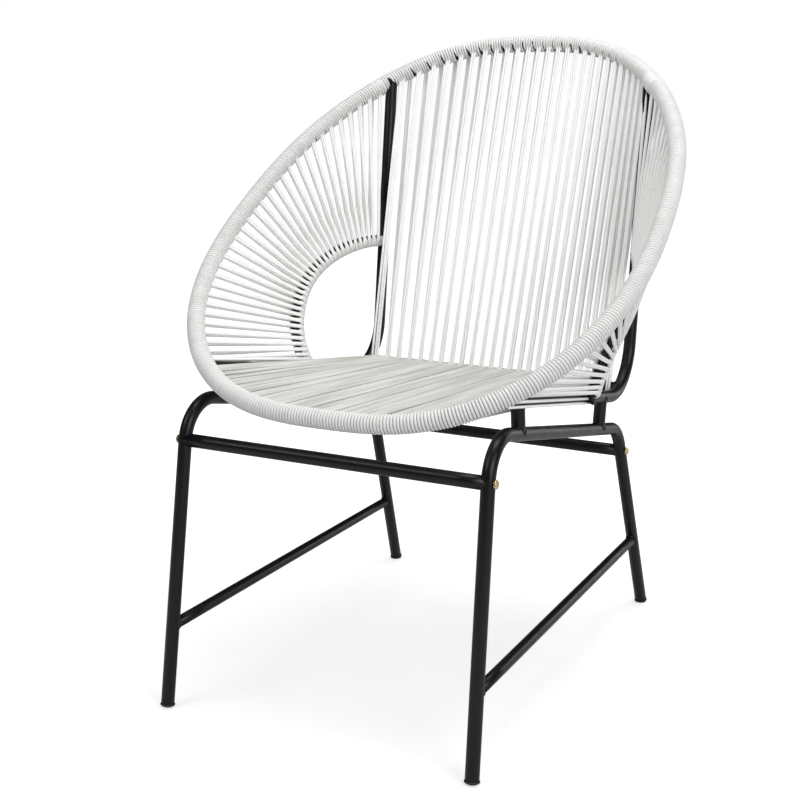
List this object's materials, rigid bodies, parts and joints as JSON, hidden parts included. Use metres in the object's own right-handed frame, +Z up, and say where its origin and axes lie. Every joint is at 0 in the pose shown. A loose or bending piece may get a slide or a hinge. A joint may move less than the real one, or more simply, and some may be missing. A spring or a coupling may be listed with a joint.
{
  "type": "lounge chair",
  "caption": "Lounge chair with a tilted oval steel hoop, woven cord seat, back and arms, side openings under bent arm tubes, and a bolted steel base with side stretchers.",
  "frame": {"origin": "on the floor, under the middle of the chair's outline", "axes": "+Z up, the sitter faces -Y, +X to the sitter's left"},
  "size_m": [0.7016, 0.7734, 0.9382],
  "materials": {
    "frame_steel": "satin black powder coat",
    "cord": "off-white vinyl cord",
    "foot_cap": "moulded black",
    "hardware": "yellow zinc plate"
  },
  "bodies": {
    "root": {"hoop_tube": "frame_steel", "seat_bar": "frame_steel", "front_crossbar": "frame_steel", "rear_crossbar": "frame_steel", "side_frame_left": "frame_steel", "seat_rail_and_upright_left": "frame_steel", "arm_arc_left": "frame_steel", "front_post_left": "frame_steel", "rear_post_left": "frame_steel", "stretcher_left": "frame_steel", "side_frame_right": "frame_steel", "seat_rail_and_upright_right": "frame_steel", "arm_arc_right": "frame_steel", "front_post_right": "frame_steel", "rear_post_right": "frame_steel", "stretcher_right": "frame_steel", "arm_cord_left_upper": "cord", "arm_cord_left_middle": "cord", "arm_cord_left_front": "cord", "arm_cord_right_upper": "cord", "arm_cord_right_middle": "cord", "arm_cord_right_front": "cord", "seat_cord_right": "cord", "seat_cord_middle": "cord", "seat_cord_left": "cord", "back_cord_right": "cord", "back_cord_middle": "cord", "back_cord_left": "cord", "foot_cap_front_left": "foot_cap", "foot_cap_rear_left": "foot_cap", "foot_cap_front_right": "foot_cap", "foot_cap_rear_right": "foot_cap", "bolt_front_left": "hardware", "bolt_rear_left": "hardware", "threaded_insert_front_left": "hardware", "threaded_insert_rear_left": "hardware", "bolt_front_right": "hardware", "bolt_rear_right": "hardware", "threaded_insert_front_right": "hardware", "threaded_insert_rear_right": "hardware"}
  },
  "joints": []
}
